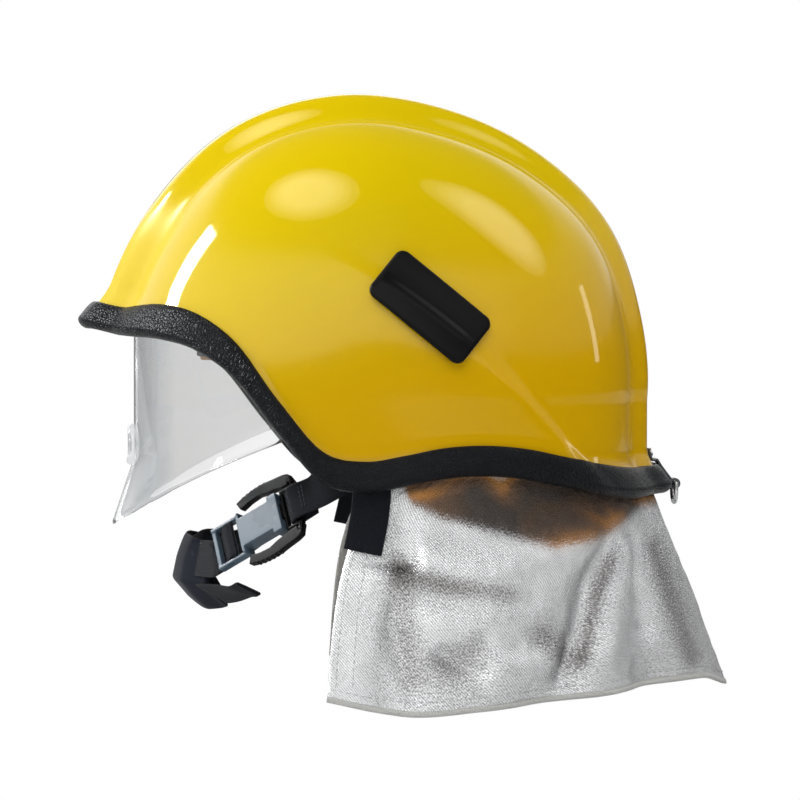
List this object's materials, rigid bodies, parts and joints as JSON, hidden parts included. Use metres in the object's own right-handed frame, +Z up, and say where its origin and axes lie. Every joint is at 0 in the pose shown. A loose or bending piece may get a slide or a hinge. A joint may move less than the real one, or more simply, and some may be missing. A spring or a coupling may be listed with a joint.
{
  "type": "fire helmet",
  "caption": "Full-shell fire helmet with a raisable clear face shield, ratchet head harness, quick-release chin strap and a silvered neck cape",
  "frame": {"origin": "middle of the headband, level with the wearer's brow", "axes": "-Y the way the wearer faces, +X the wearer's left, +Z up"},
  "size_m": [0.254, 0.358, 0.3299],
  "materials": {
    "shell": "glossy moulded thermoplastic",
    "trim": "matt black rubber with a light grain",
    "black_plastic": "moulded black plastic",
    "steel": "zinc-plated steel",
    "dark_steel": "dark coated sheet steel",
    "screen": "clear polycarbonate",
    "liner": "dark impact foam",
    "harness": "flexible moulded nylon",
    "leather": "tan leather",
    "webbing": "woven webbing",
    "pad": "brushed cloth over foam",
    "cape": "aluminised twill",
    "binding": "pale woven binding",
    "buckle": "grey-blue moulded plastic",
    "washer": "white nylon"
  },
  "bodies": {
    "shell": {"outer_shell": "shell", "edge_trim": "trim", "side_plate_left": "black_plastic", "side_plate_right": "black_plastic", "side_plate_nuts": "steel", "impact_liner": "liner", "headband_front": "harness", "brow_pad": "leather", "band_guides": "harness", "crown_strap_a": "webbing", "crown_strap_b": "webbing", "crown_pad": "pad", "strap_clips": "harness", "clip_rivets": "steel", "visor_bracket_left": "dark_steel", "visor_bracket_right": "dark_steel", "visor_pivot_screws": "steel", "friction_washers": "washer", "chin_strap_left": "webbing", "chin_strap_right": "webbing", "anchor_rivets": "steel", "buckle_female": "buckle", "chin_pad": "pad", "strap_tail": "webbing", "throat_tab_left": "webbing", "throat_tab_right": "webbing", "neck_cape": "cape", "cape_hem": "binding", "cape_bands": "webbing", "rear_bracket": "dark_steel", "bracket_rivet": "steel"},
    "visor": {"visor_screen": "screen", "visor_tab": "screen", "visor_arm_left": "black_plastic", "visor_arm_right": "black_plastic", "arm_rivets": "steel"},
    "nape": {"nape_band": "harness", "nape_pad": "pad", "ratchet_housing": "harness", "ratchet_cover": "black_plastic"},
    "knob": {"ratchet_knob": "black_plastic", "ratchet_pinion": "steel"},
    "buckle_insert": {"buckle_male": "black_plastic"},
    "release_upper": {"release_arm_upper": "black_plastic"},
    "release_lower": {"release_arm_lower": "black_plastic"},
    "ring": {"hanging_ring": "steel"}
  },
  "joints": [
    {"name": "visor_flip", "type": "hinge", "parent": "shell", "child": "visor", "pos_m": [0, 0.008, -0.019], "axis": [-1, 0, 0], "range_deg": [0, 36]},
    {"name": "nape_adjust", "type": "slide", "parent": "shell", "child": "nape", "axis": [0, -1, 0], "range_m": [-0.006, 0.02]},
    {"name": "ratchet_turn", "type": "hinge", "parent": "nape", "child": "knob", "pos_m": [0, 0.1, -0.04], "axis": [0, 1, 0], "range_deg": [-87, 288]},
    {"name": "buckle_release", "type": "slide", "parent": "shell", "child": "buckle_insert", "axis": [0.4836, 0.7357, 0.4742], "range_m": [0, 0.022], "deforming": ["chin_strap_left"]},
    {"name": "release_press_upper", "type": "hinge", "parent": "buckle_insert", "child": "release_upper", "pos_m": [0.08218, -0.04958, -0.0596], "axis": [0.6856, -0.6552, 0.3173], "range_deg": [0, 4], "stiffness_Nm_per_rad": 0.5},
    {"name": "release_press_lower", "type": "hinge", "parent": "buckle_insert", "child": "release_lower", "pos_m": [0.09807, -0.04457, -0.08358], "axis": [-0.6856, 0.6552, -0.3173], "range_deg": [0, 4], "stiffness_Nm_per_rad": 0.5},
    {"name": "ring_swing", "type": "hinge", "parent": "shell", "child": "ring", "pos_m": [0, 0.1658, -0.06554], "axis": [1, 0, 0], "range_deg": [-20, 100]}
  ],
  "couplings": [
    {"joint": "ratchet_turn", "follows": "nape_adjust", "rad_per_m": 250}
  ]
}
